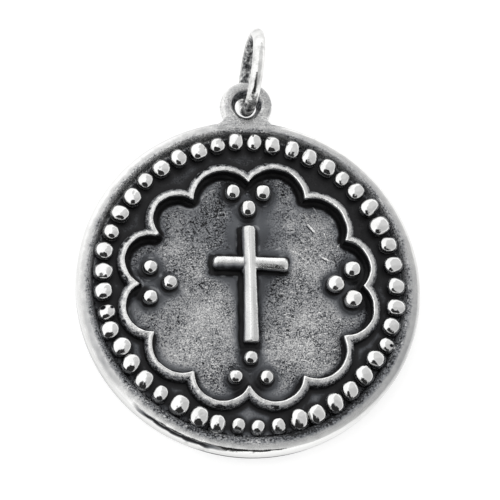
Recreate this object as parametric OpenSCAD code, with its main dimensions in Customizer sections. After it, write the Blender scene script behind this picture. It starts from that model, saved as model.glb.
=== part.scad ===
// Cross medal pendant: a round cast medal with a raised cross, and its jump ring.
// The origin is the middle of the flat back. The face looks up along +Z, and the
// eye that carries the jump ring is on +Y. All sizes are millimetres.

/* [Disc] */
// Diameter of the medal
disc_d = 28; // [26:1:32]
// Thickness of the plate under the relief
plate_t = 0.95; // [0.8:0.05:1.1]
// Height of the rim's crest above the back
rim_h = 2.1; // [1.9:0.05:2.3]
// Height of the upright part of the outer wall
wall_h = 1.6; // [1.2:0.05:1.7]
// Width of the rim, from the outer wall to the channel's floor
rim_w = 1.38; // [1.3:0.02:1.5]
// Width of the slope from the channel's floor up to the rim
slope_w = 0.36; // [0.2:0.02:0.44]
// How far the bead border and its channel sit towards the eye
border_shift = 0.2; // [0:0.05:0.25]
// Bevel at the edge of the back
back_bevel = 0.25; // [0.1:0.05:0.4]

/* [Bead border] */
// Number of beads in the border
bead_count = 45; // [36:1:45]
// Diameter of an ordinary border bead
bead_d = 1.3; // [1.1:0.02:1.34]
// Distance from the edge of the channel's floor in to the beads' centres
bead_inset = 0.68; // [0.68:0.01:0.8]
// Height of a bead's centre above the plate, as a share of its diameter
bead_lift = 0.4; // [0.25:0.01:0.44]
// How far the beads drift from even spacing, in degrees
bead_drift = 0.7; // [0:0.1:0.8]
// How far the beads sit to the right of the channel's middle
bead_side = 0.06; // [0:0.02:0.1]

/* [Scalloped wire] */
// Width of the wire at its foot
wire_w = 0.62; // [0.5:0.02:0.7]
// Width of the wire's top
wire_top_w = 0.44; // [0.3:0.02:0.46]
// Height of the wire's top above the back
wire_h = 1.95; // [1.7:0.05:2.1]
// Height of the step between the wire's foot and its top
wire_step = 0.2; // [0.1:0.05:0.4]

/* [Cross] */
// Length of the upright bar
cross_len = 9.6; // [8:0.1:10]
// Length of the cross bar
cross_span = 6; // [5:0.1:7]
// Width of the upright bar
upright_w = 1.06; // [0.8:0.02:1.2]
// Width of the cross bar
arm_w = 1.02; // [0.8:0.02:1.2]
// Distance of the cross bar above the middle of the medal
arm_y = 1.8; // [1:0.1:2]
// Height of the cross's ridge above the back
cross_h = 2.05; // [1.8:0.05:2.2]

/* [Dots] */
// Sideways distance of the two outer dots from the group's middle line
dot_side = 1.25; // [1.1:0.05:1.4]

/* [Eye] */
// Outer diameter of the eye
eye_d = 4.3; // [4.1:0.05:4.4]
// Diameter of the eye's hole at its narrowest
eye_hole_d = 1.8; // [1.78:0.01:1.84]
// Diameter of the eye's hole at its front edge
eye_mouth_d = 2.4; // [2.3:0.05:2.5]
// Distance of the middle of the eye's hole beyond the medal's edge
eye_reach = 1.5; // [1.48:0.01:1.52]
// Height of the eye's underside above the back
eye_z = 0.3; // [0.25:0.05:0.35]
// Thickness of the eye
eye_t = 1.5; // [1.4:0.05:1.55]

/* [Jump ring] */
// Thickness of the jump ring's wire
ring_wire_d = 1.02; // [0.9:0.02:1.04]
// Diameter of the ring, measured at the middle of its wire
ring_d = 6.4; // [6.36:0.02:6.42]
// How far the ring is turned to the right, seen from the front
ring_turn = 5.5; // [4:0.5:6]
// How far the ring leans to the right from upright
ring_lean = 3.5; // [3:0.5:4]

/* [Hidden] */
$fn = 64;
silver = "silver";

disc_r = disc_d / 2;
channel_r = disc_r - rim_w;
bead_ring_r = channel_r - bead_inset;
bead_pitch = 360 / bead_count;
eye_y = disc_r + eye_reach;
ring_r = ring_d / 2;
// How deep the raised work is rooted in the plate
root = 0.2;
// Room above the face for what is cut away
above = 1;
// Where the two waves of the beads' drift start, in degrees
drift_starts = [65, 140];
// Share of the slope's width at which it is half way up
slope_bend = 0.25;

// The outer wall and the rim's crest, as [distance in from the outer wall,
// height above the back]
rim_section = [
    [back_bevel, 0],
    [0, back_bevel],
    [0, wall_h],
    [0.27, rim_h - 0.12],
    [0.56, rim_h]
];

// Beads that differ from the ordinary one, as [number counted anticlockwise
// from the right, diameter, distance out from the bead circle, turn along the
// border in degrees]
odd_beads = [
    [0, 1.3, 0.05, -0.4],
    [3, 1.42, -0.1, 0],
    [4, 1.36, 0, 0.3],
    [5, 1.3, 0, 0.5],
    [6, 1.18, 0, 0],
    [7, 1.3, 0, -0.5],
    [9, 1.3, 0.1, 0],
    [10, 1.3, 0.05, 0.5],
    [11, 1.22, 0.1, 0.2],
    [12, 1.22, 0.15, -0.2],
    [13, 1.24, 0, -0.5],
    [14, 1.34, -0.1, -0.3],
    [17, 1.16, 0.05, -0.3],
    [18, 1.34, -0.1, 0],
    [20, 1.22, 0, 0],
    [21, 1.26, 0.15, -0.3],
    [24, 1.24, 0, 0.6],
    [25, 1.3, 0.2, -0.2],
    [26, 1.34, -0.1, -0.2],
    [27, 1.3, 0, -0.5],
    [28, 1.34, 0.1, -0.2],
    [29, 1.2, 0, 0],
    [30, 1.38, -0.1, 0.5],
    [31, 1.38, 0.1, 1],
    [32, 1.3, 0.2, 0.2],
    [33, 1.02, -0.05, 0.2],
    [34, 1.08, 0.05, -0.3],
    [35, 1.12, 0.1, -0.4],
    [36, 1.42, 0, 0],
    [37, 1.36, 0.1, -0.8],
    [38, 1.4, 0.05, -0.2],
    [40, 1.34, -0.05, 0.6],
    [41, 1.36, -0.05, 0.8],
    [42, 1.16, 0.2, 0],
    [43, 1.26, 0.05, -0.3],
    [44, 1.32, 0.1, -0.6]
];

// The tables of the field are written for a medal of this diameter
table_d = 28;
spread = disc_d / table_d;

// The scallop's lobes, anticlockwise from the right, as [angle of the cusp that
// the lobe starts at, radius of that cusp, radius of the lobe's tip], measured
// at the middle of the wire
lobes = [
    [0, 9.65, 10.35],
    [26, 9.2, 10.15],
    [57.5, 9.1, 10.45],
    [90, 9.1, 10.15],
    [122.5, 8.85, 10.2],
    [151.5, 8.85, 10.6],
    [181, 9.4, 10.6],
    [208.5, 9.25, 10.2],
    [237.5, 9.1, 10.35],
    [268.5, 8.9, 10.25],
    [299, 9.1, 10.25],
    [330.5, 9.1, 10.55]
];
// Radius inside every cusp, where the field is clear of the wire
field_r = 7.8;

// The four groups of dots, as [angle of the group, radius of the inner dot,
// radius of the outer pair, how far the group is turned, diameter of a dot]
dot_groups = [
    [0, 7.05, 8.45, 0.2, 1.3],
    [90, 6.5, 7.9, 0, 1.18],
    [180, 6.45, 8.05, -0.1, 1.12],
    [270, 6.05, 7.65, 0, 1.08]
];

// The top of a cross bar's section, right to left, as [share of the bar's
// width from its middle, depth below the ridge]
bar_top = [
    [0.5, 0.3],
    [0.36, 0.1],
    [-0.06, 0],
    [-0.38, 0.1],
    [-0.5, 0.3]
];

// The eye's rounded outside, bottom to top, as [distance in from the outer
// edge, share of the eye's thickness]
eye_section = [
    [0.42, 0],
    [0.12, 0.17],
    [0, 0.45],
    [0.1, 0.8],
    [0.42, 1]
];
// Share of the eye's thickness where its hole is narrowest
eye_narrow = 0.45;
// Height and width of the flare on the underside of the eye's hole
eye_flare_h = 0.5;
eye_flare_w = 0.4;

// The neck seen from above, as [distance beyond the disc's edge, reach to the
// left, reach to the right]
neck_rows = [
    [-0.75, 3.2, 2.8],
    [-0.35, 2.6, 2.35],
    [0.05, 2, 1.85],
    [0.35, 1.75, 1.7],
    [0.7, 1.7, 1.65]
];
// How far the neck's top starts below the rim's crest
neck_drop = 0.04;
// Length of the level part of the neck's top
neck_level = 0.35;
// Height of the neck's far end, as a share of the eye's thickness
neck_end = 0.85;

// The middle of the ring, from the middle of the eye's underside: its wire
// clears the eye all round
ring_offset = [0.35, 2.55, 2.2];

// Drift of a bead along the border, in degrees
function drift(i) =
    let (turn = i * bead_pitch)
    bead_drift * (cos(2 * turn - drift_starts[0]) + cos(3 * turn - drift_starts[1]));

// The row of a bead in the table of odd beads, or none
function odd_row(i) = [for (row = odd_beads) if (row[0] == i) row];

// The point at a radius and an angle
function polar(radius, angle) = [radius * cos(angle), radius * sin(angle)];

// The middle of the circle through three points
function circle_middle(a, b, c) =
    let (
        ab = b - a,
        ac = c - a,
        cross_z = 2 * (ab.x * ac.y - ab.y * ac.x)
    )
    a + [
        (ac.y * (ab * ab) - ab.y * (ac * ac)) / cross_z,
        (ab.x * (ac * ac) - ac.x * (ab * ab)) / cross_z
    ];

// The channel and the field inside the rim, as a turned solid to cut away
module recess() {
    slope_mid = channel_r + slope_w * slope_bend;
    slope_top = channel_r + slope_w;
    translate([0, border_shift, 0])
        rotate_extrude()
            polygon([
                [0, plate_t],
                [channel_r, plate_t],
                [slope_mid, (plate_t + rim_h) / 2],
                [slope_top, rim_h],
                [slope_top, rim_h + above],
                [0, rim_h + above]
            ]);
}

// The plate and its rim, turned and then hollowed
module disc() {
    outline = [for (p = rim_section) [disc_r - p[0], p[1]]];
    difference() {
        rotate_extrude()
            polygon(concat([[0, 0]], outline, [[0, rim_h]]));
        recess();
    }
}

// One row of round beads round the edge
module bead_border() {
    for (i = [0 : bead_count - 1]) {
        odd = odd_row(i);
        d = len(odd) > 0 ? odd[0][1] : bead_d;
        out = len(odd) > 0 ? odd[0][2] : 0;
        turn = len(odd) > 0 ? odd[0][3] : 0;
        place = polar(bead_ring_r + out, i * bead_pitch + drift(i) + turn);
        translate([place.x + bead_side, place.y + border_shift, plate_t + d * bead_lift])
            sphere(d = d);
    }
}

// The middle and radius of a lobe's arc, through its two cusps and its tip
function lobe_circle(i) =
    let (
        row = lobes[i],
        last = i + 1 == len(lobes),
        next = last ? lobes[0] : lobes[i + 1],
        end_angle = next[0] + (last ? 360 : 0),
        start = spread * polar(row[1], row[0]),
        tip = spread * polar(row[2], (row[0] + end_angle) / 2),
        end = spread * polar(next[1], end_angle),
        middle = circle_middle(start, tip, end)
    )
    [middle, norm(start - middle)];

// The filled circles of all the lobes, grown or shrunk by a distance
module lobe_circles(grow) {
    for (i = [0 : len(lobes) - 1]) {
        arc = lobe_circle(i);
        translate(arc[0])
            circle(r = arc[1] + grow);
    }
}

// A band of the scallop, seen from above
module scallop_band(width) {
    difference() {
        lobe_circles(width / 2);
        lobe_circles(-width / 2);
        circle(r = field_r * spread);
    }
}

// The closed scalloped wire round the field, narrower at its top
module scalloped_wire() {
    translate([0, 0, plate_t - root])
        linear_extrude(wire_h - wire_step - plate_t + root)
            scallop_band(wire_w);
    translate([0, 0, plate_t])
        linear_extrude(wire_h - plate_t)
            scallop_band(wire_top_w);
}

// A bar of the cross along Y, with upright sides and a low ridge
module bar(length, width, height) {
    top = [for (p = bar_top) [p[0] * width, height - p[1]]];
    translate([0, length / 2, 0])
        rotate([90, 0, 0])
            linear_extrude(length)
                polygon(concat(
                    [[-width / 2, plate_t - root], [width / 2, plate_t - root]],
                    top
                ));
}

// The cross, with its arms a little lower than its upright
module cross() {
    arm_drop = 0.06;
    arm_shift = 0.1;
    bar(cross_len, upright_w, cross_h);
    translate([arm_shift, arm_y, 0])
        rotate([0, 0, 90])
            intersection() {
                bar(cross_span, arm_w, cross_h - arm_drop);
                translate([0, 0, plate_t - root])
                    cylinder(d = cross_span, h = cross_h);
            }
}

// One dot of a group
module dot(x, y, d) {
    translate([x, y, plate_t + d * bead_lift])
        sphere(d = d);
}

// Four groups of three dots, each with one dot on the inside
module dots() {
    for (row = dot_groups)
        rotate([0, 0, row[0]]) {
            dot(row[1] * spread, row[3], row[4]);
            dot(row[2] * spread, row[3] + dot_side, row[4]);
            dot(row[2] * spread, row[3] - dot_side, row[4]);
        }
}

// The eye's body, without its hole
module eye_body() {
    r = eye_d / 2;
    outline = [for (p = eye_section) [r - p[0], p[1] * eye_t]];
    translate([0, eye_y, eye_z])
        rotate_extrude()
            polygon(concat([[0, 0]], outline, [[0, eye_t]]));
}

// The neck that joins the eye to the rim. It spreads towards the rim, and its
// top falls from the rim's crest to the eye
module eye_neck() {
    last = len(neck_rows) - 1;
    left = [for (row = neck_rows) [-row[1], disc_r + row[0]]];
    right = [for (i = [last : -1 : 0]) [neck_rows[i][2], disc_r + neck_rows[i][0]]];
    start_y = disc_r + neck_rows[0][0];
    end_y = disc_r + neck_rows[last][0];
    top_z = rim_h - neck_drop;
    intersection() {
        linear_extrude(rim_h)
            polygon(concat(left, right));
        translate([-eye_d, 0, 0])
            rotate([90, 0, 90])
                linear_extrude(2 * eye_d)
                    polygon([
                        [start_y, eye_z],
                        [end_y, eye_z],
                        [end_y, eye_z + eye_t * neck_end],
                        [start_y + neck_level, top_z],
                        [start_y, top_z]
                    ]);
    }
}

// The hole of the eye, tapered to the front and flared at the back
module eye_hole() {
    narrow_z = eye_t * eye_narrow;
    flare_d = eye_hole_d + 2 * eye_flare_w;
    translate([0, eye_y, eye_z]) {
        cylinder(d = eye_hole_d, h = eye_t);
        translate([0, 0, narrow_z])
            cylinder(d1 = eye_hole_d, d2 = eye_mouth_d, h = eye_t - narrow_z);
        translate([0, 0, eye_t])
            cylinder(d = eye_mouth_d, h = above);
        cylinder(d1 = flare_d, d2 = eye_hole_d, h = eye_flare_h);
        translate([0, 0, -above])
            cylinder(d = flare_d, h = above);
    }
}

// The whole cast medal, one piece of metal
module medal() {
    color(silver)
        difference() {
            union() {
                disc();
                bead_border();
                scalloped_wire();
                cross();
                dots();
                eye_body();
                eye_neck();
            }
            eye_hole();
        }
}

// The ring of round wire through the eye, standing across the medal
module jump_ring() {
    color(silver)
        translate([0, eye_y, eye_z] + ring_offset)
            rotate([0, 0, -ring_turn])
                rotate([0, ring_lean, 0])
                    rotate([0, 90, 0])
                        rotate_extrude()
                            translate([ring_r, 0])
                                circle(d = ring_wire_d);
}

medal();
jump_ring();
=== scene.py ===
import itertools
import random
from math import atan2, cos, pi, radians, sin, sqrt

import bmesh
import bpy
import numpy as np
from mathutils import Matrix, Vector, geometry, noise


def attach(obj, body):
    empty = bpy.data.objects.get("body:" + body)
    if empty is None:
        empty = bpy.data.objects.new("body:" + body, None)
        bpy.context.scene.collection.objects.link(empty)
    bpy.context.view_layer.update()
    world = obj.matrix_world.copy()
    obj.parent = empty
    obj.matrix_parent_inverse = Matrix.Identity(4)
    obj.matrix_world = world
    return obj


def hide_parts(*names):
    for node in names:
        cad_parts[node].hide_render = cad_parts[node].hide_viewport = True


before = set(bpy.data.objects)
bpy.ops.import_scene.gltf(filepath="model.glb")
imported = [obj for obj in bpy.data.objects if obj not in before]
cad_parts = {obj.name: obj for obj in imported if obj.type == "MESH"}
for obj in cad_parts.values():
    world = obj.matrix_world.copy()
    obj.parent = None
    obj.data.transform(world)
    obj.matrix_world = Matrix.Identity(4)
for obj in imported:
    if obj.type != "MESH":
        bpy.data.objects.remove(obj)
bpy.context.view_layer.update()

# Lengths are in millimetres until a finished mesh is scaled to metres
MM = 0.001

# The medal, as in the solids
DISC_R = 14.0
PLATE_T = 0.95
CHANNEL_R = 12.62
SHIFT = 0.2
BEAD_COUNT = 45
BEAD_D = 1.3
BEAD_RING_R = 11.94
BEAD_LIFT = 0.4
BEAD_DRIFT = 0.7
BEAD_SIDE = 0.06
# The worn beads are a little wider than in the solids, with flattened tops that lean in,
# and with longer lower halves, so that each is rooted in the plate
BEAD_GROW = 1.08
BEAD_DOME = 0.76
BEAD_LEAN = 0.13
BEAD_ROOT = 1.4
# The direction and rise of the worn flat on each bead, and how far both vary
FLAT_SIDE, FLAT_SIDE_SPREAD = 262, 9
FLAT_RISE, FLAT_RISE_SPREAD = 50, 4
# Beads that differ, as [number, diameter, distance out, turn in degrees]
ODD_BEADS = [
    [0, 1.3, 0.05, -0.4], [3, 1.42, -0.1, 0], [4, 1.36, 0, 0.3], [5, 1.3, 0, 0.5], [6, 1.18, 0, 0],
    [7, 1.3, 0, -0.5], [9, 1.3, 0.1, 0], [10, 1.3, 0.05, 0.5], [11, 1.22, 0.1, 0.2],
    [12, 1.22, 0.15, -0.2], [13, 1.24, 0, -0.5], [14, 1.34, -0.1, -0.3], [17, 1.16, 0.05, -0.3],
    [18, 1.34, -0.1, 0], [20, 1.22, 0, 0], [21, 1.26, 0.15, -0.3], [24, 1.24, 0, 0.6],
    [25, 1.3, 0.2, -0.2], [26, 1.34, -0.1, -0.2], [27, 1.3, 0, -0.5], [28, 1.34, 0.1, -0.2],
    [29, 1.2, 0, 0], [30, 1.38, -0.1, 0.5], [31, 1.38, 0.1, 1], [32, 1.3, 0.2, 0.2],
    [33, 1.02, -0.05, 0.2], [34, 1.08, 0.05, -0.3], [35, 1.12, 0.1, -0.4], [36, 1.42, 0, 0],
    [37, 1.36, 0.1, -0.8], [38, 1.4, 0.05, -0.2], [40, 1.34, -0.05, 0.6], [41, 1.36, -0.05, 0.8],
    [42, 1.16, 0.2, 0], [43, 1.26, 0.05, -0.3], [44, 1.32, 0.1, -0.6],
]
# The wire's lobes, as [cusp angle, cusp radius, tip radius]
LOBES = [
    [0, 9.65, 10.35], [26, 9.2, 10.15], [57.5, 9.1, 10.45], [90, 9.1, 10.15], [122.5, 8.85, 10.2],
    [151.5, 8.85, 10.6], [181, 9.4, 10.6], [208.5, 9.25, 10.2], [237.5, 9.1, 10.35],
    [268.5, 8.9, 10.25], [299, 9.1, 10.25], [330.5, 9.1, 10.55],
]
# Half the wire's width at its foot
WIRE_HALF = 0.31
# The dots, as [group angle, inner radius, outer radius, turned, dot diameter]
DOT_GROUPS = [
    [0, 7.05, 8.45, 0.2, 1.3], [90, 6.5, 7.9, 0, 1.18], [180, 6.45, 8.05, -0.1, 1.12],
    [270, 6.05, 7.65, 0, 1.08],
]
DOT_SIDE = 1.25
CROSS_LEN = 9.6
CROSS_SPAN = 6.0
BAR_HALF = 0.53
ARM_X = 0.1
ARM_Y = 1.8
CROSS_TOP = 2.05
EYE_Y = 15.5
EYE_Z = 0.3
RING_MIDDLE = (0.35, 18.05, 2.5)
RING_R = 3.2
RING_WIRE_R = 0.51
RING_TURN = 5.5
RING_LEAN = 3.5
# Where the ring is cut, in degrees round it, and half the cut's width
RING_CUT = 75
RING_CUT_HALF = 0.012

RNG = random.Random(41)


def ease(low, high, value):
    """0 below one value and 1 above another, with a smooth step between."""
    t = np.clip((np.asarray(value, float) - low) / (high - low), 0, 1)
    return t * t * (3 - 2 * t)


def fade(low, high, value):
    """1 below one value and 0 above another, with a smooth step between."""
    return 1 - ease(low, high, value)


def polar(radius, degrees):
    """A point at a distance and a direction."""
    a = radians(degrees)
    return np.array([radius * cos(a), radius * sin(a)])


def read_off(rows, value, column=1):
    """Straight-line values between a table's rows, looked up by its first column."""
    rows = np.array(rows)
    return np.interp(value, rows[:, 0], rows[:, column])


def wobble(points, scale, seed):
    """Smooth noise between about -1 and 1 at each point, for a scale in waves per millimetre."""
    shift = Vector((seed * 7.3, seed * 3.1, seed * 5.7))
    return np.array([noise.noise(Vector(p) * scale + shift) for p in points]) * 1.6


# Places of the raised work

def circle_through(a, b, c):
    ab, ac = b - a, c - a
    k = 2 * (ab[0] * ac[1] - ab[1] * ac[0])
    bb, cc = ab @ ab, ac @ ac
    return a + np.array([(ac[1] * bb - ab[1] * cc) / k, (ab[0] * cc - ac[0] * bb) / k])


def lobe_circles():
    """The middle and radius of each lobe's arc."""
    out = []
    for i, (angle, cusp_r, tip_r) in enumerate(LOBES):
        after = LOBES[(i + 1) % len(LOBES)]
        end_angle = after[0] + (360 if i + 1 == len(LOBES) else 0)
        start = polar(cusp_r, angle)
        tip = polar(tip_r, (angle + end_angle) / 2)
        middle = circle_through(start, tip, polar(after[1], end_angle))
        out.append((middle, float(np.linalg.norm(start - middle))))
    return out


ARCS = lobe_circles()


def bead_places():
    """Rows of x, y, radius and angle for the border's beads."""
    odd = {row[0]: row[1:] for row in ODD_BEADS}
    rows = []
    for i in range(BEAD_COUNT):
        d, out, turn = odd.get(i, (BEAD_D, 0, 0))
        even = i * 360 / BEAD_COUNT
        drift = BEAD_DRIFT * (polar(1, 2 * even - 65)[0] + polar(1, 3 * even - 140)[0])
        angle = even + drift + turn
        x, y = polar(BEAD_RING_R + out, angle)
        rows.append((x + BEAD_SIDE, y + SHIFT, d / 2, angle))
    return rows


def dot_places():
    """Rows of x, y, radius and angle for the dots."""
    rows = []
    for angle, inner, outer, turned, d in DOT_GROUPS:
        c, s = polar(1, angle)
        for out, side in ((inner, 0), (outer, DOT_SIDE), (outer, -DOT_SIDE)):
            side += turned
            rows.append((out * c - side * s, out * s + side * c, d / 2, angle))
    return rows


BEADS = bead_places()
DOTS = dot_places()


def wire_distance(xy):
    """Distance outwards from the middle of the scalloped wire."""
    gap = np.full(len(xy), 1e9)
    cusps = [polar(row[1], row[0]) for row in LOBES]
    starts = np.array([row[0] for row in LOBES])
    for i, (middle, radius) in enumerate(ARCS):
        first, last = cusps[i], cusps[(i + 1) % len(cusps)]
        a0 = atan2(*(first - middle)[::-1])
        sweep = (atan2(*(last - middle)[::-1]) - a0) % (2 * pi)
        off = xy - middle
        on_arc = (np.arctan2(off[:, 1], off[:, 0]) - a0) % (2 * pi) < sweep
        to_arc = np.abs(np.hypot(off[:, 0], off[:, 1]) - radius)
        ends = [np.hypot(*(xy - end).T) for end in (first, last)]
        gap = np.minimum(gap, np.where(on_arc, to_arc, np.minimum(*ends)))
    angle = np.degrees(np.arctan2(xy[:, 1], xy[:, 0])) % 360
    sector = np.searchsorted(starts, angle, side="right") - 1
    middles = np.array([m for m, _ in ARCS])[sector]
    radii = np.array([r for _, r in ARCS])[sector]
    reach = np.hypot(xy[:, 0], xy[:, 1])
    along = (middles * xy).sum(axis=1) / np.maximum(reach, 1e-9)
    edge = along + np.sqrt(np.maximum(radii**2 - (middles**2).sum(axis=1) + along**2, 0))
    return np.where(reach < edge, -gap, gap)


def ball_distance(xy, rows):
    """Distance to the nearest ball's outline, and that ball's radius."""
    data = np.array(rows)
    gap = np.hypot(xy[:, :1] - data[:, 0], xy[:, 1:2] - data[:, 1]) - data[:, 2]
    near = gap.argmin(axis=1)
    return gap[np.arange(len(xy)), near], data[near, 2]


def box_distance(xy, x0, x1, y0, y1):
    dx = np.maximum(x0 - xy[:, 0], xy[:, 0] - x1)
    dy = np.maximum(y0 - xy[:, 1], xy[:, 1] - y1)
    return np.hypot(np.maximum(dx, 0), np.maximum(dy, 0)) + np.minimum(np.maximum(dx, dy), 0)


def cross_distance(xy):
    """Distance to the outline of the cross."""
    half = BAR_HALF
    upright = box_distance(xy, -half, half, -CROSS_LEN / 2, CROSS_LEN / 2)
    arms = box_distance(
        xy, ARM_X - CROSS_SPAN / 2, ARM_X + CROSS_SPAN / 2, ARM_Y - half, ARM_Y + half
    )
    return np.minimum(upright, arms)


# Mesh helpers

# Edges shorter than this, left where solids are joined, are closed up
SLIVER = 0.002


def new_object(name, verts, faces):
    mesh = bpy.data.meshes.new(name)
    mesh.from_pydata([tuple(v) for v in verts], [], faces)
    mesh.update()
    obj = bpy.data.objects.new(name, mesh)
    bpy.context.scene.collection.objects.link(obj)
    return obj


def new_solid(name, verts, faces):
    """A closed mesh whose faces all look outwards."""
    obj = new_object(name, verts, faces)
    bm = bmesh.new()
    bm.from_mesh(obj.data)
    bmesh.ops.recalc_face_normals(bm, faces=bm.faces)
    bm.to_mesh(obj.data)
    bm.free()
    return obj


def loft(rings, closed=False):
    """Quads between rings of equal length; each ring is closed on itself."""
    n = len(rings[0])
    verts = np.concatenate(rings)
    faces = []
    count = len(rings)
    for i in range(count if closed else count - 1):
        a, b = i * n, ((i + 1) % count) * n
        for j in range(n):
            k = (j + 1) % n
            faces.append((a + j, a + k, b + k, b + j))
    return verts, faces


def capped_loft(rings):
    """A loft with a face over its first and its last ring."""
    verts, faces = loft(rings)
    n = len(rings[0])
    faces += [tuple(range(n)), tuple(range(len(verts) - 1, len(verts) - 1 - n, -1))]
    return verts, faces


def level_circle(count, radius, middle, z):
    """Points of a level circle, starting on the right."""
    steps = np.arange(count) * 2 * pi / count
    x = middle[0] + radius * np.cos(steps)
    y = middle[1] + radius * np.sin(steps)
    return np.column_stack([x, y, np.full(count, z)])


def apply_modifiers(obj):
    graph = bpy.context.evaluated_depsgraph_get()
    mesh = bpy.data.meshes.new_from_object(obj.evaluated_get(graph))
    old = obj.data
    obj.modifiers.clear()
    obj.data = mesh
    bpy.data.meshes.remove(old)


def join_in(obj, tool, operation="UNION"):
    """Fuses the tool's solid with the object's, or cuts it away."""
    mod = obj.modifiers.new("join", "BOOLEAN")
    mod.operation = operation
    mod.solver = "MANIFOLD"
    mod.object = tool
    apply_modifiers(obj)
    bpy.data.objects.remove(tool)


def clean_up(mesh):
    """Leaves one closed shell of triangles, without the slivers that the joins leave."""
    bm = bmesh.new()
    bm.from_mesh(mesh)
    bmesh.ops.dissolve_degenerate(bm, dist=SLIVER, edges=bm.edges[:])
    # a face is split from its middle where a diagonal would fall on an edge or on another diagonal
    used, awkward = set(), []
    for face in bm.faces:
        if len(face.verts) == 3:
            continue
        own = {frozenset(edge.verts) for edge in face.edges}
        spans = {frozenset(pair) for pair in itertools.combinations(face.verts, 2)} - own
        if any(span in used or bm.edges.get(tuple(span)) for span in spans):
            awkward.append(face)
        else:
            used |= spans
    bmesh.ops.poke(bm, faces=awkward)
    bmesh.ops.triangulate(bm, faces=[f for f in bm.faces if len(f.verts) > 3])
    # all but the largest shell goes, and so do points that carry no face
    left, shells = set(bm.verts), []
    while left:
        shell, waiting = set(), [left.pop()]
        while waiting:
            vert = waiting.pop()
            shell.add(vert)
            fresh = [e.other_vert(vert) for e in vert.link_edges if e.other_vert(vert) in left]
            left.difference_update(fresh)
            waiting += fresh
        shells.append(shell)
    shells.sort(key=len)
    loose = {vert for vert in bm.verts if not vert.link_faces}.union(*shells[:-1])
    bmesh.ops.delete(bm, geom=list(loose), context="VERTS")
    bm.to_mesh(mesh)
    bm.free()


def soften(obj, voxel, rounds):
    """Remeshes a rough solid evenly and rounds its edges and inner corners."""
    mod = obj.modifiers.new("even", "REMESH")
    mod.mode = "VOXEL"
    mod.voxel_size = voxel
    mod = obj.modifiers.new("round", "SMOOTH")
    mod.factor = 0.5
    mod.iterations = rounds
    apply_modifiers(obj)


# Plate and rim

RIM_SEGMENTS = 360
# From the back up the outer wall to the rim's crown, as (distance in from the wall, height)
OUTER_WALL = [
    (0.25, 0), (0.1, 0.07), (0, 0.25), (0, 0.42), (0, 0.6), (0, 1.48), (0.01, 1.62), (0.05, 1.73),
    (0.1, 1.79), (0.15, 1.85), (0.2, 1.905), (0.25, 1.955), (0.3, 1.985), (0.37, 2.005),
    (0.5, 2.03), (0.66, 2.06), (0.82, 2.09),
]
# From the crown down to the channel, as (distance from the channel's middle, height)
INNER_SLOPE = [(13.12, 2.07), (13, 2), (12.89, 1.87), (12.8, 1.66), (12.73, 1.4), (12.67, 1.12)]
FLOOR_STEP = 0.21
FINE_STEP = 0.105


def floor_height(xy):
    """The cast floor: gently uneven, with soft grooves along the raised work."""
    points = [(x, y, 0) for x, y in xy]
    wire = wire_distance(xy)
    inside = wire < 0
    to_wire = np.abs(wire) - WIRE_HALF
    to_cross = cross_distance(xy)
    to_dot = ball_distance(xy, DOTS)[0]
    near = np.minimum(np.minimum(to_wire, to_cross), to_dot)
    groove = 0.09 * fade(0.22, 0.6, near)
    swell = 0.035 * wobble(points, 0.55, 1) + 0.02 * wobble(points, 1.7, 2)
    field = swell - groove
    channel = 0.015 * wobble(points, 1.3, 3) - 0.03
    return PLATE_T + np.where(inside, field, channel)


def floor_points():
    """A lattice over the floor, finer along the foot of the raised work."""
    out = []
    for step, fine in ((FLOOR_STEP, False), (FINE_STEP, True)):
        row = step * sqrt(3) / 2
        reach = int(CHANNEL_R / row) + 1
        grid = np.arange(-reach, reach + 1)
        i, j = np.meshgrid(grid, grid)
        xy = np.column_stack([((i + 0.5 * (j % 2)) * step).ravel(), (j * row).ravel() + SHIFT])
        xy = xy[np.hypot(xy[:, 0], xy[:, 1] - SHIFT) < CHANNEL_R - FLOOR_STEP * 0.6]
        wire = wire_distance(xy)
        to_wire = np.where(wire < 0, -wire - WIRE_HALF, 1)
        near = np.minimum(np.minimum(to_wire, cross_distance(xy)), ball_distance(xy, DOTS)[0])
        along = (near > -0.12) & (near < 0.72)
        out.append(xy[along == fine])
    return np.concatenate(out)


def make_disc():
    """The plate with its rim, channel and cast floor."""

    def ring(radius, z, shift=0):
        return level_circle(RIM_SEGMENTS, radius, (0, shift), z)

    rings = [ring(r, 0) for r in (3, 8, 12)]
    rings += [ring(DISC_R - d, z) for d, z in OUTER_WALL]
    rings += [ring(r, z, SHIFT) for r, z in INNER_SLOPE]
    verts, faces = loft(rings)
    outer = ring(CHANNEL_R, PLATE_T, SHIFT)[:, :2]
    flat = np.concatenate([outer, floor_points()])
    n = len(outer)
    edges = [(i, (i + 1) % n) for i in range(n)]
    out = geometry.delaunay_2d_cdt([Vector(p) for p in flat], edges, [], 0, 1e-7)
    flat = np.array([tuple(p) for p in out[0]])
    base = len(verts)
    verts = np.concatenate([verts, np.column_stack([flat, floor_height(flat)])])
    faces += [tuple(base + v for v in f) for f in out[2]]
    place = {old: base + new for new, olds in enumerate(out[3]) for old in olds}
    for i, k in edges:
        faces.append((base - n + i, base - n + k, place[k], place[i]))
    faces.append(tuple(range(n - 1, -1, -1)))
    outside = np.hypot(verts[:, 0], verts[:, 1]) > CHANNEL_R + 0.1
    top = ease(1.2, 2, verts[:, 2]) * outside
    verts[:, 2] += top * (0.03 * wobble(verts, 0.5, 4) + 0.012 * wobble(verts, 2.2, 5) - 0.03)
    return new_solid("medal_body", verts, faces)


# Beads and dots

BALL_AROUND, BALL_LEVELS = 28, 16


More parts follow.
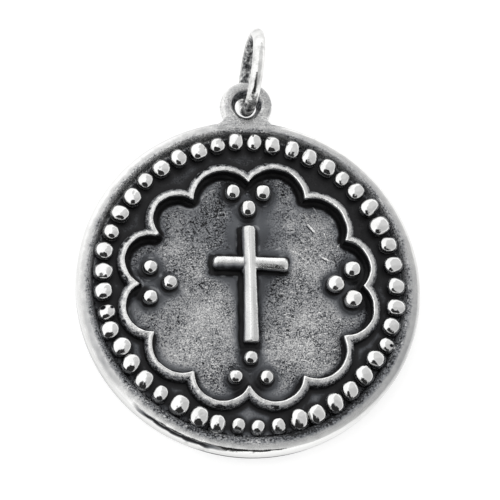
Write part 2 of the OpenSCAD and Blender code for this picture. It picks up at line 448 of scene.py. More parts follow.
def sphere():
    """The points and faces of a round ball, from its top down."""
    points, faces = [(0, 0, 1)], []
    for i in range(1, BALL_LEVELS):
        a = pi * i / BALL_LEVELS
        for j in range(BALL_AROUND):
            b = 2 * pi * j / BALL_AROUND
            points.append((sin(a) * cos(b), sin(a) * sin(b), cos(a)))
    lowest = len(points) - BALL_AROUND
    points.append((0, 0, -1))
    for j in range(BALL_AROUND):
        k = (j + 1) % BALL_AROUND
        faces.append((0, 1 + j, 1 + k))
        for above in range(1, lowest, BALL_AROUND):
            below = above + BALL_AROUND
            faces.append((above + j, below + j, below + k, above + k))
        faces.append((lowest + j, lowest + BALL_AROUND, lowest + k))
    return points, faces


SPHERE_POINTS, SPHERE_FACES = sphere()


def ball(row, squareness, lean, long):
    """The points of one cast ball: a little squared and uneven, and a bead is longer outwards."""
    x, y, radius, angle = row
    plan, dome = 2 + squareness, 2.3 + 0.4 * squareness
    turn = radians(angle + RNG.uniform(-12, 12))
    off = radians(angle) - turn
    c, s = cos(turn), sin(turn)
    beside = abs(polar(1, angle)[0])
    across = long * (0.07 + 0.06 * beside)
    stretch = [1 + across + RNG.uniform(-0.05, 0.05), 1 - 0.02 * long + RNG.uniform(-0.05, 0.05)]
    stretch.append(1 + RNG.uniform(-0.03, 0.04))
    seed = RNG.uniform(0, 50)
    side = radians(FLAT_SIDE + RNG.uniform(-FLAT_SIDE_SPREAD, FLAT_SIDE_SPREAD)) - turn
    rise = radians(FLAT_RISE + RNG.uniform(-FLAT_RISE_SPREAD, FLAT_RISE_SPREAD))
    level = cos(rise)
    facing = Vector((cos(side) * level, sin(side) * level, sin(rise)))

    def reach(p):
        """How far the squared ball reaches in a direction, for a radius of 1."""
        flat = (abs(p[0]) ** plan + abs(p[1]) ** plan) ** (dome / plan)
        return (flat + abs(p[2]) ** dome) ** (-1 / dome)

    flat_at = 0.915 + 0.045 * beside + RNG.uniform(-0.015, 0.015)
    flat_at *= reach(facing)
    top = PLATE_T + 2 * radius * BEAD_LIFT + radius
    z = top - radius * BEAD_DOME
    points = []
    for p in SPHERE_POINTS:
        size = min(reach(p), flat_at / max(facing.dot(p), 0.1))
        bumps = 0.06 * noise.noise(Vector(p) * 1.2 + Vector((seed, 0, 0)))
        bumps += 0.03 * noise.noise(Vector(p) * 3.1 + Vector((seed, 9, 0)))
        size *= radius * BEAD_GROW * (1 + bumps)
        q = [p[k] * size * stretch[k] for k in range(3)]
        q[2] *= BEAD_DOME if q[2] > 0 else BEAD_ROOT
        q[2] -= lean * (q[0] * cos(off) + q[1] * sin(off))
        points.append((x + q[0] * c - q[1] * s, y + q[0] * s + q[1] * c, z + q[2]))
    return points


def make_balls(name, rows, squareness, lean=0, long=0):
    """One mesh of separate balls, for rows of x, y, radius and angle."""
    verts, faces = [], []
    for row in rows:
        tilt = lean * (1 - 0.7 * row[1] / BEAD_RING_R) + RNG.uniform(-0.05, 0.05)
        faces += [tuple(len(verts) + v for v in face) for face in SPHERE_FACES]
        verts += ball(row, RNG.uniform(*squareness), tilt, long)
    return new_object(name, verts, faces)


# Scalloped wire

# The wire's section from its outer foot over its top, as (distance out from its
# middle, height above the plate)
WIRE_SECTION = [
    (0.38, -0.25), (0.37, 0.1), (0.36, 0.35), (0.34, 0.55), (0.3, 0.7), (0.24, 0.81),
    (0.15, 0.895), (0.05, 0.95), (-0.08, 0.985), (-0.2, 1), (-0.265, 0.97), (-0.3, 0.88),
    (-0.32, 0.7), (-0.33, 0.45), (-0.335, 0.1), (-0.34, -0.25),
]
LOBE_STEPS = 48


def outer_crossing(a, b, grow):
    """The outer point where two lobes' circles cross, both grown by a distance."""
    (ma, ra), (mb, rb) = a, b
    ra, rb = ra + grow, rb + grow
    d = mb - ma
    length = np.linalg.norm(d)
    along = (ra * ra - rb * rb + length * length) / (2 * length)
    up = sqrt(max(ra * ra - along * along, 0))
    side = np.array([-d[1], d[0]]) / length
    base = ma + d / length * along
    both = (base + side * up, base - side * up)
    return max(both, key=lambda p: p @ p)


def make_wire():
    """The closed scalloped wire, its section carried along every lobe."""
    count = len(ARCS)
    columns = []
    rows = np.array(WIRE_SECTION)
    between = (rows[1:] + rows[:-1]) / 2
    rows = np.insert(rows, np.arange(2, len(rows) - 1), between[1:-1], axis=0)
    for offset, height in rows:
        line = []
        z = PLATE_T + height
        for i in range(count):
            middle, radius = ARCS[i]
            start = outer_crossing(ARCS[i - 1], ARCS[i], offset) - middle
            end = outer_crossing(ARCS[i], ARCS[(i + 1) % count], offset) - middle
            a0 = atan2(start[1], start[0])
            a1 = atan2(end[1], end[0])
            while a1 < a0:
                a1 += 2 * pi
            r = radius + offset
            for k in range(LOBE_STEPS):
                a = a0 + (a1 - a0) * (k / LOBE_STEPS)
                line.append((middle[0] + r * cos(a), middle[1] + r * sin(a), z))
        columns.append(np.array(line))
    verts, faces = loft(columns, closed=True)
    points = verts.copy()
    flat = points * (1, 1, 0)
    up = ease(PLATE_T, PLATE_T + 0.9, verts[:, 2])
    sway = 0.035
    verts[:, 0] += sway * wobble(flat, 0.9, 11) + 0.012 * up * wobble(points, 3.5, 12)
    verts[:, 1] += sway * wobble(flat, 0.9, 13) + 0.012 * up * wobble(points, 3.5, 14)
    verts[:, 2] += up * (0.035 * wobble(flat, 0.8, 15) + 0.012 * wobble(flat, 3.2, 16))
    outside = ease(0.05, 0.25, wire_distance(verts[:, :2])) * up
    verts[:, 2] += outside * 0.05 * wobble(points, 4, 17)
    return new_solid("wire_tool", verts, faces)


# Cross

# A bar's section, as (share of the half width, depth below the ridge)
BAR_SECTION = [
    (1, 1.35), (1, 0.42), (0.96, 0.27), (0.86, 0.17), (0.6, 0.09), (0.25, 0.03), (-0.12, 0),
    (-0.4, 0.06), (-0.7, 0.14), (-0.88, 0.21), (-0.96, 0.3), (-1, 0.44), (-1, 1.35),
]
# Each bar's stations along its length, as (place, left edge, right edge, rise over CROSS_TOP)
UPRIGHT = [
    (4.9, -0.36, 0.42, -0.2), (4.82, -0.5, 0.52, -0.08), (4.55, -0.54, 0.55, -0.02),
    (3.5, -0.54, 0.53, 0.01), (2.4, -0.5, 0.54, 0.03), (1.2, -0.48, 0.57, 0.03),
    (0, -0.47, 0.59, 0.01), (-2, -0.5, 0.63, 0.01), (-3.8, -0.54, 0.66, 0.01),
    (-4.6, -0.57, 0.68, -0.01), (-4.8, -0.56, 0.66, -0.06), (-4.9, -0.46, 0.56, -0.18),
]
ARMS = [
    (3.06, -0.24, 0.26, -0.28), (2.97, -0.4, 0.44, -0.14), (2.75, -0.52, 0.56, -0.06),
    (2.2, -0.53, 0.56, -0.04), (0.9, -0.5, 0.54, -0.03), (0, -0.5, 0.54, -0.03),
    (-0.9, -0.49, 0.52, -0.03), (-2.3, -0.57, 0.5, -0.02), (-2.8, -0.65, 0.5, -0.04),
    (-3.02, -0.57, 0.4, -0.14), (-3.1, -0.37, 0.2, -0.3),
]
FILLETS = [
    (0.95, -0.16, 0, -0.2), (0.7, -0.42, 0.1, -0.12), (0.3, -0.75, 0.3, -0.1),
    (-0.5, -0.62, 0.5, -0.12), (-0.85, -0.5, 0.1, -0.2),
]


def bar(name, stations):
    rings = []
    for y, left, right, rise in stations:
        mid, half = (left + right) / 2, (right - left) / 2
        rings.append(np.array([(mid + s * half, y, CROSS_TOP + rise - d) for s, d in BAR_SECTION]))
    return new_solid(name, *capped_loft(rings))


def make_cross():
    """The upright, the arms and the soft fillets between them, worn as one casting."""
    upright = bar("cross_tool", UPRIGHT)
    upright.data.transform(Matrix.Translation((0, 0.07, 0)))
    arms = bar("arms_tool", ARMS)
    across = Matrix.Rotation(pi / 2, 4, "Z")
    arms.data.transform(Matrix.Translation((ARM_X, ARM_Y, 0)) @ across)
    fillets = bar("fillet_tool", FILLETS)
    fillets.data.transform(Matrix.Translation((0, ARM_Y, 0)))
    join_in(upright, arms)
    join_in(upright, fillets)
    soften(upright, 0.06, 3)
    roughen(upright.data, 0.016, 1.3, 21)
    return upright


def roughen(mesh, depth, scale, seed):
    """Moves each point a little along its normal."""
    points = np.array([v.co[:] for v in mesh.vertices])
    normals = np.array([v.normal[:] for v in mesh.vertices])
    shift = wobble(points, scale, seed) * depth
    mesh.vertices.foreach_set("co", (points + normals * shift[:, None]).ravel())
    mesh.update()


# Eye and neck

# The eye's section round its hole, as (distance from the hole's middle, height
# above the eye's underside, shift to the right), from its underside over its face
EYE_OUTSIDE = [
    (1.72, 0, 0), (1.98, 0.1, 0), (2.12, 0.34, 0), (2.17, 0.66, 0), (2.14, 0.95, 0.02),
    (2.04, 1.25, 0.09), (1.92, 1.45, 0.16), (1.76, 1.53, 0.17), (1.5, 1.54, 0.1),
]
# The wall of the eye's hole, as (distance from its middle, height above the eye's underside)
EYE_HOLE = [(1.05, 0.24), (0.9, 0.48), (0.86, 0.66), (0.93, 0.82), (1.06, 1.1), (1.2, 1.38), (1.3, 1.5)]
EYE_SEGMENTS = 96
# The neck, as (y, left edge, right edge, top height)
NECK_STATIONS = [
    (12.95, -3.4, 2.8, 1.93), (13.25, -3.2, 2.65, 2.08), (13.5, -2.85, 2.35, 2.09),
    (13.75, -2.45, 2.05, 2.07), (14, -2.1, 1.82, 2.03), (14.25, -1.88, 1.74, 1.97),
    (14.45, -1.8, 1.74, 1.9),
]
NECK_LOW = EYE_Z + 0.08


def eye_ring(radius, height, shift=0):
    return level_circle(EYE_SEGMENTS, radius, (shift, EYE_Y), EYE_Z + height)


def make_neck():
    """The short neck, with bevels along both sides of its top."""
    rings = []
    for y, left, right, top in NECK_STATIONS:
        section = [
            (left, NECK_LOW), (right, NECK_LOW), (right, top - 0.25), (right - 0.12, top - 0.06),
            (right - 0.45, top), (left + 0.7, top), (left + 0.3, top - 0.08), (left, top - 0.4),
        ]
        rings.append(np.array([(x, y, z) for x, z in section]))
    return new_solid("neck_tool", *capped_loft(rings))


def make_hole():
    """The tapered space inside the eye's hole, reaching past both of its faces."""
    wall = [(1.3, -0.2)] + EYE_HOLE + [(1.42, 1.56), (1.42, 1.9)]
    return new_solid("hole_tool", *capped_loft([eye_ring(r, h) for r, h in wall]))


def make_eye():
    """The eye on its neck, with its edges worn round."""
    section = EYE_OUTSIDE + [(r, h, 0) for r, h in reversed(EYE_HOLE)] + [(1.3, 0, 0)]
    rings = [eye_ring(r, h, shift) for r, h, shift in section]
    eye = new_solid("eye_tool", *loft(rings, closed=True))
    join_in(eye, make_neck())
    join_in(eye, make_hole(), "DIFFERENCE")
    soften(eye, 0.085, 5)
    roughen(eye.data, 0.018, 1.1, 31)
    return eye


# Jump ring

def make_ring():
    """Round wire bent into a ring, its two ends meeting at a hairline cut at the back."""
    along, around = 192, 24
    cut = radians(RING_CUT)
    gap = RING_CUT_HALF / RING_R
    rings = []
    for i in range(along + 1):
        share = i / along
        a = cut + gap + share * (2 * pi - 2 * gap)
        end = min(share, 1 - share) * along
        thin = 0.86 if end < 0.5 else (0.96 if end < 1.5 else 1)
        bend = RING_R + 0.015 * sin(3 * a + 1)
        ring = []
        for j in range(around):
            b = 2 * pi * j / around
            r = RING_WIRE_R * thin
            radial = bend + r * cos(b)
            ring.append((radial * cos(a), radial * sin(a), r * sin(b)))
        rings.append(np.array(ring))
    ring = new_solid("jump_ring_wire", *capped_loft(rings))
    turn = (
        Matrix.Translation(RING_MIDDLE)
        @ Matrix.Rotation(radians(-RING_TURN), 4, "Z")
        @ Matrix.Rotation(radians(RING_LEAN), 4, "Y")
        @ Matrix.Rotation(pi / 2, 4, "Y")
    )
    ring.data.transform(turn)
    return ring


# Oxide, wear and painted light and shade

# Where the field is painted lighter or darker, as painted light and shade and as wear, as [x, y, reach,
# share]; a negative share stays dark
LIGHT_AND_WEAR_SPOTS = [
    [-4.6, -4.6, 3.2, 1], [4.6, -4.6, 3, 1.35], [5.2, 0.6, 2.6, 0.5], [-5.2, 1.9, 2, 1.05],
    [-2.4, -1.4, 1.6, 0.7], [-2.6, -7.2, 1.2, 0.6], [2.9, 1.4, 1.1, 0.35], [5.4, 2.9, 1.7, 0.6],
    [3.6, 3.4, 2, 0.3], [-3.7, 4.9, 1.5, -1], [1.6, 4.8, 1.9, -1.2], [3.5, 5.4, 0.5, 0.9],
    [-1.3, 4.4, 1.3, -1], [0, -8, 1.5, -0.9], [-7.2, 1, 1.5, -0.7], [7.4, 0.2, 1.5, -0.7],
    [1.2, 0.2, 1.2, -0.8], [-1.2, 0.4, 1.2, -0.8],
]
# Where the field is smooth, as [x, y, reach across, reach along]
SMOOTH_SPOTS = [[1.7, 4.9, 1.4, 2.1], [-1.3, 3.6, 0.9, 1.7], [1.2, -0.6, 0.7, 1.8]]
# How the rim's darkness varies round the medal, as [direction in degrees, darkness added to its inner
# half, darkness added to its outer half, how pitted its inner half is]
RIM_TONES = [
    [0, 0.07, 0.75, 1.1], [30, -0.02, 0.1, 0.8], [60, -0.05, 0, 0.9], [90, 0.03, 0.4, 1.3],
    [105, -0.12, 0.7, 0.9], [120, -0.19, 0.2, 0.8], [150, -0.05, 0.1, 1.1], [180, 0.05, 0.6, 1],
    [210, 0.08, 1.2, 1], [225, 0.04, 0.5, 1.2], [240, 0.03, 0.2, 1.3], [255, 0.17, 0, 1.4],
    [270, -0.1, 0, 1.4], [285, 0.25, 0.1, 1], [300, 0.23, 0.3, 0.7], [330, 0.22, 1.1, 0.9],
    [360, 0.07, 0.75, 1.1],
]
# The rim's darkness, as [distance from the medal's middle, darkness], and where its outer half can be
# darker
RIM_STAIN = [
    [12.6, 0.52], [12.85, 0.52], [13, 0.5], [13.2, 0.42], [13.35, 0.33], [13.5, 0.24],
    [13.6, 0.14], [13.7, 0.03],
]
RIM_OUTER_DARKENING = [[13.4, 0], [13.55, 0.2], [13.7, 0.34], [13.82, 0.27], [13.95, 0.12]]
# The wire's stain, as [height above the plate, stain] down its outer wall, and
# as [distance out from the wire's middle, stain] over its top
WIRE_WALL = [[0.2, 0.99], [0.45, 0.93], [0.62, 0.75], [0.78, 0.55], [0.88, 0.36], [0.95, 0.2]]
WIRE_CROWN = [[-0.26, 0], [-0.2, 0.02], [-0.12, 0.13], [0, 0.16], [0.09, 0.42], [0.2, 0.58]]
# The cross's painted light and shade, as [place across the bar as a share of its half width, darkness]:
# a painted highlight along the ridge and edges, and painted shade on the left facet and the lower edges
UPRIGHT_SHADING = [
    [-0.95, 0.6], [-0.85, 0.3], [-0.7, 0.24], [-0.3, 0.2], [-0.12, 0.08], [0.08, 0], [0.25, 0.16],
    [0.75, 0.22], [0.88, 0.1], [1, 0.25],
]
RIGHT_ARM_SHADING = [
    [-1, 0.5], [-0.88, 0], [-0.72, 0.24], [0.1, 0.22], [0.35, 0.1], [0.6, 0.02], [1, 0.2],
]
LEFT_ARM_SHADING = [[-0.8, 0.9], [-0.5, 0.62], [-0.2, 0.3], [0.2, 0.18], [0.6, 0.1], [1, 0.2]]
# The upright's half width for its painted shading, as [y, half width]
UPRIGHT_HALF = [[-4.9, 0.62], [0, 0.53], [4.9, 0.51]]


class Places:
    """Where each of the medal's points lies, measured from its parts."""

    def __init__(self, verts):
        xy = verts[:, :2]
        self.x, self.y, self.z = verts.T
        self.points = verts
        self.height = self.z - PLATE_T
        self.radius = np.hypot(self.x, self.y)
        self.border_r = np.hypot(self.x, self.y - SHIFT)
        self.compass = np.degrees(np.arctan2(self.y, self.x)) % 360
        self.rough = wobble(self.points, 1.6, 41)
        self.broad = wobble(self.points, 0.4, 42)
        self.wire = wire_distance(xy)
        self.to_wire = np.abs(self.wire) - WIRE_HALF
        self.to_cross = cross_distance(xy)
        self.to_dot, self.dot_r = ball_distance(xy, DOTS)
        self.to_bead, self.bead_r = ball_distance(xy, BEADS)

    def towards(self, x, y):
        """How far each point lies in a direction, as a share of its distance from the middle."""
        return (self.x * x + self.y * y) / np.maximum(self.radius, 1)


def look(darkness, pits):
    """Two rows: each point's stain and how pitted it is."""
    return np.stack(np.broadcast_arrays(darkness, pits))


def field_look(at):
    """The field is worn grey in its open parts and darker along the raised work, with painted shade
    widening its halo, a painted highlight along the halo's edge, and painted light and shade in broad
    patches.
    """
    # each point's lightening from the spots: painted light and shade, and wear
    worn = np.zeros(len(at.x))
    for x, y, reach, share in LIGHT_AND_WEAR_SPOTS:
        away = np.hypot(at.x - x, at.y - y) / reach
        worn += share * np.exp(-away * away)
    smooth = np.zeros(len(at.x))
    for x, y, across, along in SMOOTH_SPOTS:
        away = np.hypot((at.x - x) / across, (at.y - y) / along)
        smooth = np.maximum(smooth, np.exp(-away * away))
    gaps = np.stack([at.to_wire, at.to_dot, at.to_cross])
    near = gaps.min(axis=0)
    by_wire, by_dot, by_cross = gaps == near
    open_field = ease(0.3, 1.15, near + 0.3 * at.broad + 0.1 * at.rough + 0.5 * worn)
    darkness = 0.83 - 0.215 * open_field - 0.22 * np.clip(worn, -0.6, 1) * open_field + 0.1 * at.broad
    # a black halo of oxide lies round all raised work; painted shade widens it below the wire in the
    # upper half, and on the left of the cross
    shade_band = np.where(by_wire, 0.3 * ease(-2, 3, at.y), 0)
    reach = np.where(by_dot, 0.1, 0.2) + shade_band + 0.1 * by_cross * (at.x < 0)
    halo_and_shade = fade(reach, reach + 0.15, near + 0.07 * at.rough)
    pinch = 0.85 * ease(1.5, 0.95, at.to_dot + np.minimum(at.to_wire, at.to_cross))
    halo_and_shade = np.maximum(halo_and_shade, pinch)
    # a thin painted highlight runs along parts of the halo's edge, stronger towards the top and left
    edge_highlight = np.exp(-(((near - shade_band - 0.4) / 0.06) ** 2)) * ease(0.1, 0.7, at.rough)
    darkness = darkness + (1 - darkness) * halo_and_shade - 0.3 * edge_highlight * ease(-1, 2, at.y - at.x * 0.6)
    return look(darkness, open_field * (0.88 + 0.3 * at.broad) * (1 - 0.7 * smooth))


def channel_look(at):
    """The channel is black, a little lighter in its open parts, more so towards the front and less so
    towards the upper right, and lighter along the rim in front.
    """
    clear = ease(0.25, 0.75, np.minimum(at.to_wire, at.to_bead) + 0.15 * at.broad)
    low_side = ease(0.3, -0.5, at.towards(0, 1))
    dark_side = ease(0.5, 0.95, at.towards(0.74, 0.67))
    darkness = 0.975 - (0.1 + 0.19 * low_side - 0.08 * dark_side) * clear + 0.02 * at.rough
    strip = ease(12.05, 12.4, at.border_r) * ease(0, 0.2, at.to_bead)
    darkness -= 0.16 * strip * ease(0.2, -0.6, at.towards(0, 1))
    return look(darkness, 0.15 * clear)


def wire_look(at):
    """The wire is bright on top, black down its inner wall and streaked down its outer one."""
    inner = 0.97 - 0.97 * ease(0.72, 0.93, at.height)
    outer = read_off(WIRE_WALL, at.height)
    top = read_off(WIRE_CROWN, at.wire)
    streak = 0.16 * ease(0.1, 0.9, wobble(at.points, 2.6, 43))
    blots = 0.55 * ease(0.45, 0.65, wobble(at.points, 2.2, 45))
    streak = streak + blots * ease(-0.05, 0.1, at.wire)
    darkness = np.where(at.wire < -0.2, np.maximum(inner, top), np.maximum(top, outer) + streak)
    return look(darkness, 0.15 + 0.95 * ease(0, 0.22, at.wire))


def cross_look(at):
    """The cross has a painted highlight along its ridge and edges and painted shade on its facets and
    lower edges, and is stained at its foot.
    """
    lengthwise = wobble(at.points * (4, 0.6, 1), 0.8, 44)
    foot = 1 - 0.97 * ease(0.42, 0.8, at.height)
    across = (at.x - 0.05) / read_off(UPRIGHT_HALF, at.y)
    upright = read_off(UPRIGHT_SHADING, across)
    across = (at.y - ARM_Y) / 0.52
    left, right = read_off(LEFT_ARM_SHADING, across), read_off(RIGHT_ARM_SHADING, across)
    arm = np.where(at.x < 0, left, right)
    on_arm = (np.abs(across) < 1.1) & (np.abs(at.x) > 0.5)
    top = np.where(on_arm, arm, upright) + 0.08 * lengthwise
    return look(np.maximum(foot, top), 0.08)


def ball_look(at, radius):
    """A bead or dot is bright, and black round its foot."""
    lift = (at.height - 2 * radius * BEAD_LIFT) / radius
    return look(1 - (0.86 + 0.05 * at.rough) * ease(-0.4, 0.1, lift), 0)


def rim_look(at):
    """The rim is stained and pitted towards the channel and polished along its edge, with a painted
    dark reflection and painted contact shadow low in front.
    """
    edge = at.radius + 0.05 * at.rough
    stained = edge + 0.06 * wobble(at.points, 2.8, 47)
    darkness = read_off(RIM_STAIN, stained)
    darkness += read_off(RIM_TONES, at.compass, 1) * fade(13.05, 13.4, edge)
    darkness += read_off(RIM_TONES, at.compass, 2) * read_off(RIM_OUTER_DARKENING, edge)
    # a painted dark reflection lies as a black crescent low in front, and painted contact shadow
    # blackens the foot of the side wall beside it
    dark_reflection = read_off([[226, 0], [233, 1], [254, 1], [262, 0]], at.compass)
    darkness += dark_reflection * ease(13.7, 13.76, edge) * fade(13.92, 13.97, edge) * 0.9
    beside = ease(248, 262, at.compass) * ease(292, 276, at.compass)
    darkness += beside * (at.z < 0.55) * (edge > 13.8)
    far_side = ease(0.2, 0.9, at.towards(-0.4, 1))
    darkness -= 0.2 * far_side * fade(12.87, 12.97, edge)
    foot = 0.14 * fade(0.05, 0.45, at.height)
    front = ease(0.1, 0.8, at.towards(-0.25, -1))
    front = 0.2 * front * fade(13, 13.3, edge) * (0.8 + 0.4 * at.broad)
    pits = read_off(RIM_TONES, at.compass, 3) * fade(13, 13.45, stained)
    return look(darkness + foot + front, pits)


def eye_look(at):
    """The eye's face is greyer than its sides, and its hole is dark with painted shade."""
    eye_r = np.hypot(at.x, at.y - EYE_Y)
    face = 0.33 + 0.05 * at.rough
    side = 0.1 + 0.08 * at.rough
    darkness = side + (face - side) * ease(1.55, 1.78, at.z)
    darkness = darkness - 0.22 * np.exp(-(((eye_r - 1.4) / 0.07) ** 2)) * (at.z > 1.6)
    # painted shade darkens the wall inside the hole
    inside = fade(1.2, 1.3, eye_r)
    dark = 0.76 + 0.25 * wobble(at.points, 4, 46)
    return look(darkness + (dark - darkness) * inside * ease(0.1, 0.5, at.z), 0.35)


def eye_share(at):
    """How far the eye's look takes over from the rim's, from 0 to 1."""
    on_neck = (at.y > 13) & (np.abs(at.x) < 3.6) & (at.z > 1.5)
    blend = ease(13.1, 13.6, at.y) * ease(3.6, 2.4, np.abs(at.x))
    beyond = at.radius > DISC_R + 0.02
    return np.where(beyond, 1, np.where(on_neck, blend, 0)) * (at.y > 0)


def patina_and_shade(verts):
    """How black each point is, with oxide and painted light and shade, from 0, bright silver, to 1,
    black, and how pitted it is.
    """
    at = Places(verts)
    raised = at.height > 0.12
    seen = np.where(at.wire < 0, field_look(at), channel_look(at))
    seen = np.where((at.to_wire < 0.09) & raised, wire_look(at), seen)
    seen = np.where((at.to_cross < 0.16) & raised, cross_look(at), seen)
    for gap, radius in ((at.to_dot, at.dot_r), (at.to_bead, at.bead_r)):
        seen = np.where((gap < 0.14) & (at.height > 0.1), ball_look(at, radius), seen)
    on_rim = (at.border_r > CHANNEL_R - 0.1) & (at.to_bead > 0.07)
    seen = np.where(on_rim, rim_look(at), seen)
    seen = seen + (eye_look(at) - seen) * eye_share(at)
    back = look(0.3 + 0.08 * at.rough, 0.3)
    darkness, pits = np.where(at.z < 0.2, back, seen)
    return np.clip(darkness, 0, 1), np.clip(pits, 0, 1.8)


def ring_patina_and_shade(verts, normals):
    """The inside of the ring stays darker than its polished outside, and its end in the eye is darkened
    with painted shade.
    """
    rel = verts - np.array(RING_MIDDLE)
    rel /= np.linalg.norm(rel, axis=1)[:, None]
    inner = ease(-0.1, 0.75, -(rel * normals).sum(axis=1))
    shade_in_eye = ease(15.35, 14.75, verts[:, 1])
    spots = 0.12 * wobble(verts, 1.2, 51) + 0.6 * shade_in_eye * wobble(verts, 2.6, 52)
    return np.clip(0.1 + 0.6 * inner + 0.45 * shade_in_eye + spots, 0, 1)


def add_attribute(obj, name, values):
    layer = obj.data.attributes.new(name, "FLOAT", "POINT")
    layer.data.foreach_set("value", values.astype(np.float32))


# Materials

class Nodes:
    """A short way to build the nodes of a material or a world."""

    def __init__(self, owner):
        owner.use_nodes = True
        self.owner = owner
        self.tree = owner.node_tree

    def feed(self, node, inputs):
        """Links or sets a node's inputs, given as {name or number: socket or constant}."""
        for key, value in inputs.items():
            if hasattr(value, "is_output"):
                self.tree.links.new(value, node.inputs[key])
            else:
                node.inputs[key].default_value = value

    def add(self, kind, inputs, **settings):
        """A new node's outputs."""
        node = self.tree.nodes.new("ShaderNode" + kind)
        for key, value in settings.items():
            setattr(node, key, value)
        self.feed(node, inputs)
        return node.outputs

    def math(self, operation, a, b, clamp=False):
        return self.add("Math", {0: a, 1: b}, operation=operation, use_clamp=clamp)[0]

    def times(self, a, b):
        return self.math("MULTIPLY", a, b)

    def vector(self, operation, a, b=(0, 0, 0)):
        """A vector node's outputs for a socket and a constant vector."""
        return self.add("VectorMath", {0: a, 1: b}, operation=operation)

    def map(self, value, low, high, out_low=0, out_high=1, curve="LINEAR"):
        """The value carried over from one range to another, and held at its ends."""
        inputs = {"Value": value, "From Min": low, "From Max": high}
        inputs |= {"To Min": out_low, "To Max": out_high}
        return self.add("MapRange", inputs, interpolation_type=curve)[0]

    def ease(self, low, high, value):
        return self.map(value, low, high, 0, 1, "SMOOTHSTEP")

    def ramp(self, value, stops):
        """The colour at a value, from stops of (value, red, green, blue)."""
        node = self.tree.nodes.new("ShaderNodeValToRGB")
        elements = node.color_ramp.elements
        for stop in stops[1:-1]:
            elements.new(stop[0])
        for element, stop in zip(elements, stops):
            element.color = (*stop[1:], 1)
        self.feed(node, {0: value})
        return node.outputs[0]

    def coordinates(self):
        """Object coordinates in millimetres."""
        return self.vector("MULTIPLY", self.add("TexCoord", {})["Object"], (1 / MM,) * 3)[0]

    def noise(self, place, scale, detail, roughness):
        inputs = {"Vector": place, "Scale": scale, "Detail": detail, "Roughness": roughness}
        return self.add("TexNoise", inputs)["Fac"]

    def attribute(self, name):
        return self.add("Attribute", {}, attribute_name=name)["Fac"]

    def bump(self, height, strength, distance):
        """A bumped normal, for a distance in metres."""
        inputs = {"Height": height, "Strength": strength, "Distance": distance}
        return self.add("Bump", inputs)[0]

    def surface(self, inputs):
        """Feeds the material's own shader, and returns the material."""
        self.feed(self.tree.nodes["Principled BSDF"], inputs)
        return self.owner


def new_material(name):
    return Nodes(bpy.data.materials.new(name))


# Scratches and dents in the field, as [x, y, turn in degrees, half length, half width, share];
# a positive share is bright
SCRATCHES = [
    [5.3, 5.05, -51, 0.62, 0.09, 0.7], [5.16, 4.94, -51, 0.6, 0.08, -0.35],
    [6.4, 4.45, -68, 0.36, 0.07, 0.5], [6.35, 2.5, -26, 0.4, 0.1, 0.7],
    [6.3, 2.36, -26, 0.36, 0.08, -0.3], [7.45, 3.65, 50, 0.26, 0.08, 0.4],
    [4.85, 6.05, -42, 0.5, 0.06, 0.3], [5.6, 6.7, -56, 0.4, 0.06, 0.3],
    [3.35, 3.97, 30, 0.42, 0.05, 0.25], [2.95, 5.15, 62, 0.35, 0.07, 0.2],
    [-3.85, 0.2, 20, 0.45, 0.06, -0.4], [-3.95, 0, -40, 0.25, 0.06, -0.4],
    [-3.3, 4.7, -60, 0.5, 0.07, -0.35], [-4.4, 4.65, -65, 0.4, 0.06, -0.35],
    [-2.7, 5.9, 20, 0.5, 0.06, -0.3], [1.8, -1.3, -45, 0.4, 0.06, -0.3],
    [2.5, 3.3, 25, 0.4, 0.1, 0.18], [3.9, 3, -20, 0.45, 0.09, 0.2], [3, 2.2, 50, 0.4, 0.09, 0.18],
    [4.3, 2.1, -60, 0.35, 0.08, 0.15], [-3.6, 5.2, 30, 0.4, 0.12, -0.3],
    [-4.6, 5.4, -20, 0.35, 0.1, -0.3], [-3.2, 4.1, 10, 0.3, 0.1, -0.3],
    [-11.87, -2.27, 30, 0.3, 0.22, -0.9], [-11.15, -2.21, 0, 0.2, 0.16, -0.8],
    [11.38, -5.01, 0, 0.2, 0.17, -0.9],
]


def scratches(m, place):
    """The sum of all the scratches' shares at a place on the face."""
    flat = m.vector("MULTIPLY", place, (1, 1, 0))[0]
    total = 0
    for x, y, turn, length, width, share in SCRATCHES:
        inputs = {"Vector": flat, "Location": (x, y, 0), "Scale": (length, width, 1)}
        inputs["Rotation"] = (0, 0, radians(turn))
        near = m.add("Mapping", inputs, vector_type="TEXTURE")[0]
        away = m.vector("LENGTH", near)["Value"]
        mark = m.map(away, 0.55, 1, share, 0, "SMOOTHSTEP")
        total = m.math("ADD", total, mark)
    return total


def streaks(m, place, turn, scale, low, high):
    """Short parallel brush strokes."""
    inputs = {"Vector": place, "Rotation": (0, 0, radians(turn)), "Scale": (0.4, 1, 1)}
    turned = m.add("Mapping", inputs)[0]
    return m.ease(low, high, m.noise(turned, scale, 2, 0.5))


# How each silver darkens, as (stain, red, green, blue)
MEDAL_COLOURS = [
    (0, 0.88, 0.88, 0.87), (0.12, 0.75, 0.75, 0.745), (0.25, 0.59, 0.59, 0.585),
    (0.45, 0.37, 0.373, 0.38), (0.62, 0.23, 0.237, 0.25), (0.8, 0.085, 0.09, 0.1),
    (0.92, 0.02, 0.02, 0.022), (1, 0.008, 0.008, 0.009),
]
RING_COLOURS = [
    (0, 0.84, 0.84, 0.83), (0.35, 0.5, 0.5, 0.495), (0.7, 0.16, 0.163, 0.168),
    (1, 0.03, 0.03, 0.032),
]


